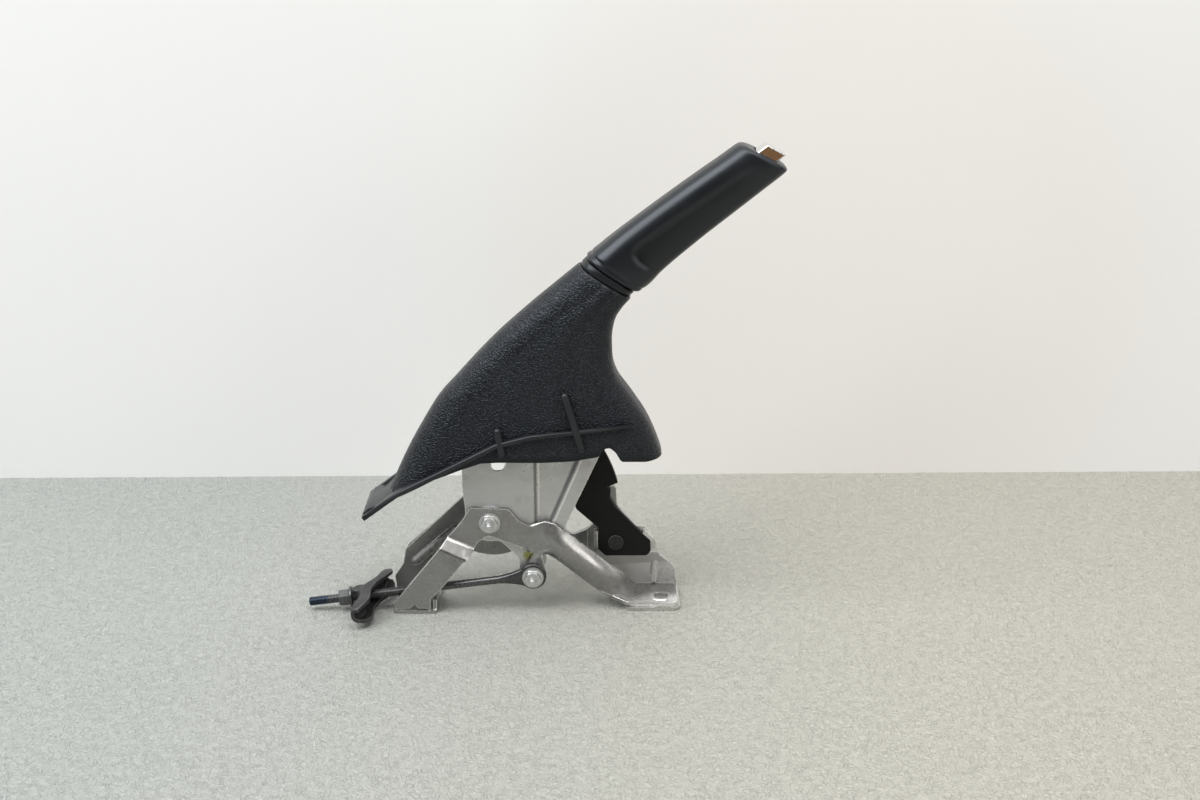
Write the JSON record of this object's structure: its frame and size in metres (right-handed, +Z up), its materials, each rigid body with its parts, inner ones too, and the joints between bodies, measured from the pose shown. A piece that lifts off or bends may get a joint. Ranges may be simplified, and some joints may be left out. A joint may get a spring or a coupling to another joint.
{
  "type": "parking brake lever",
  "caption": "Hand-operated parking brake lever on a floor bracket, with a shrouded handle, release button, ratchet, pull rod and cable equaliser.",
  "frame": {"origin": "centre of the front bolt hole, on the floor plane under the bracket's feet", "axes": "+X forward along the vehicle, towards the grip end; +Y to the far side, along the pivot; +Z up"},
  "size_m": [0.314, 0.0765, 0.3129],
  "materials": {
    "bracket_steel": "satin",
    "lever_steel": "satin",
    "sector_black": "satin",
    "zinc": "satin",
    "washer_plastic": "matte",
    "bush_bronze": "satin",
    "shroud_plastic": "grained",
    "collar_plastic": "satin",
    "grip_soft": "satin",
    "button_chrome": "polished",
    "spring_steel": "satin",
    "pawl_steel": "satin",
    "rod_black": "satin",
    "yoke_black": "satin"
  },
  "bodies": {
    "bracket": {"far_bracket": "bracket_steel", "near_bracket": "bracket_steel", "ratchet_sector": "sector_black", "sector_rivet": "sector_black", "pivot_bolt": "zinc", "pivot_nut": "zinc", "pivot_washer_near": "washer_plastic", "pivot_washer_far": "washer_plastic"},
    "lever": {"lever_channel": "lever_steel", "pivot_bush": "bush_bronze", "lever_tube": "lever_steel", "spring_seat": "washer_plastic", "pawl_pin": "zinc", "clevis_bolt": "zinc", "clevis_nut": "zinc", "clevis_spacer": "zinc", "shroud": "shroud_plastic", "neck_collar": "collar_plastic", "grip": "grip_soft", "end_guide": "collar_plastic", "button_spring": "spring_steel"},
    "button": {"release_button": "button_chrome", "release_rod": "spring_steel"},
    "pawl": {"pawl": "pawl_steel"},
    "pull_rod": {"pull_rod": "rod_black"},
    "adjuster": {"adjusting_nut": "rod_black"},
    "equaliser": {"equaliser": "yoke_black"}
  },
  "joints": [
    {"name": "lever_swing", "type": "hinge", "parent": "bracket", "child": "lever", "pos_m": [-0.1148, 0.0069, 0.0624], "axis": [0, -1, 0], "range_deg": [-27, 3]},
    {"name": "button_press", "type": "slide", "parent": "lever", "child": "button", "axis": [-0.7955, 0, -0.606], "range_m": [-0.0023, 0.006], "stiffness_N_per_m": 600, "deforming": ["button_spring"]},
    {"name": "pawl_turn", "type": "hinge", "parent": "lever", "child": "pawl", "pos_m": [-0.0824, 0.0069, 0.15597], "axis": [0, -1, 0], "range_deg": [-5.4, 13.9]},
    {"name": "rod_swing", "type": "hinge", "parent": "lever", "child": "pull_rod", "pos_m": [-0.0863, -0.0111, 0.0249], "axis": [0, -1, 0], "range_deg": [-2.7, 23]},
    {"name": "nut_travel", "type": "slide", "parent": "pull_rod", "child": "adjuster", "axis": [-0.9921, 0, -0.1253], "range_m": [0, 0.012]},
    {"name": "equaliser_swivel", "type": "hinge", "parent": "adjuster", "child": "equaliser", "pos_m": [-0.20238, -0.0111, 0.01024], "axis": [-0.1253, 0, 0.9921], "range_deg": [0, 28]}
  ],
  "couplings": [
    {"joint": "pawl_turn", "follows": "button_press", "rad_per_m": 40},
    {"joint": "rod_swing", "follows": "lever_swing", "ratio": -0.845}
  ]
}
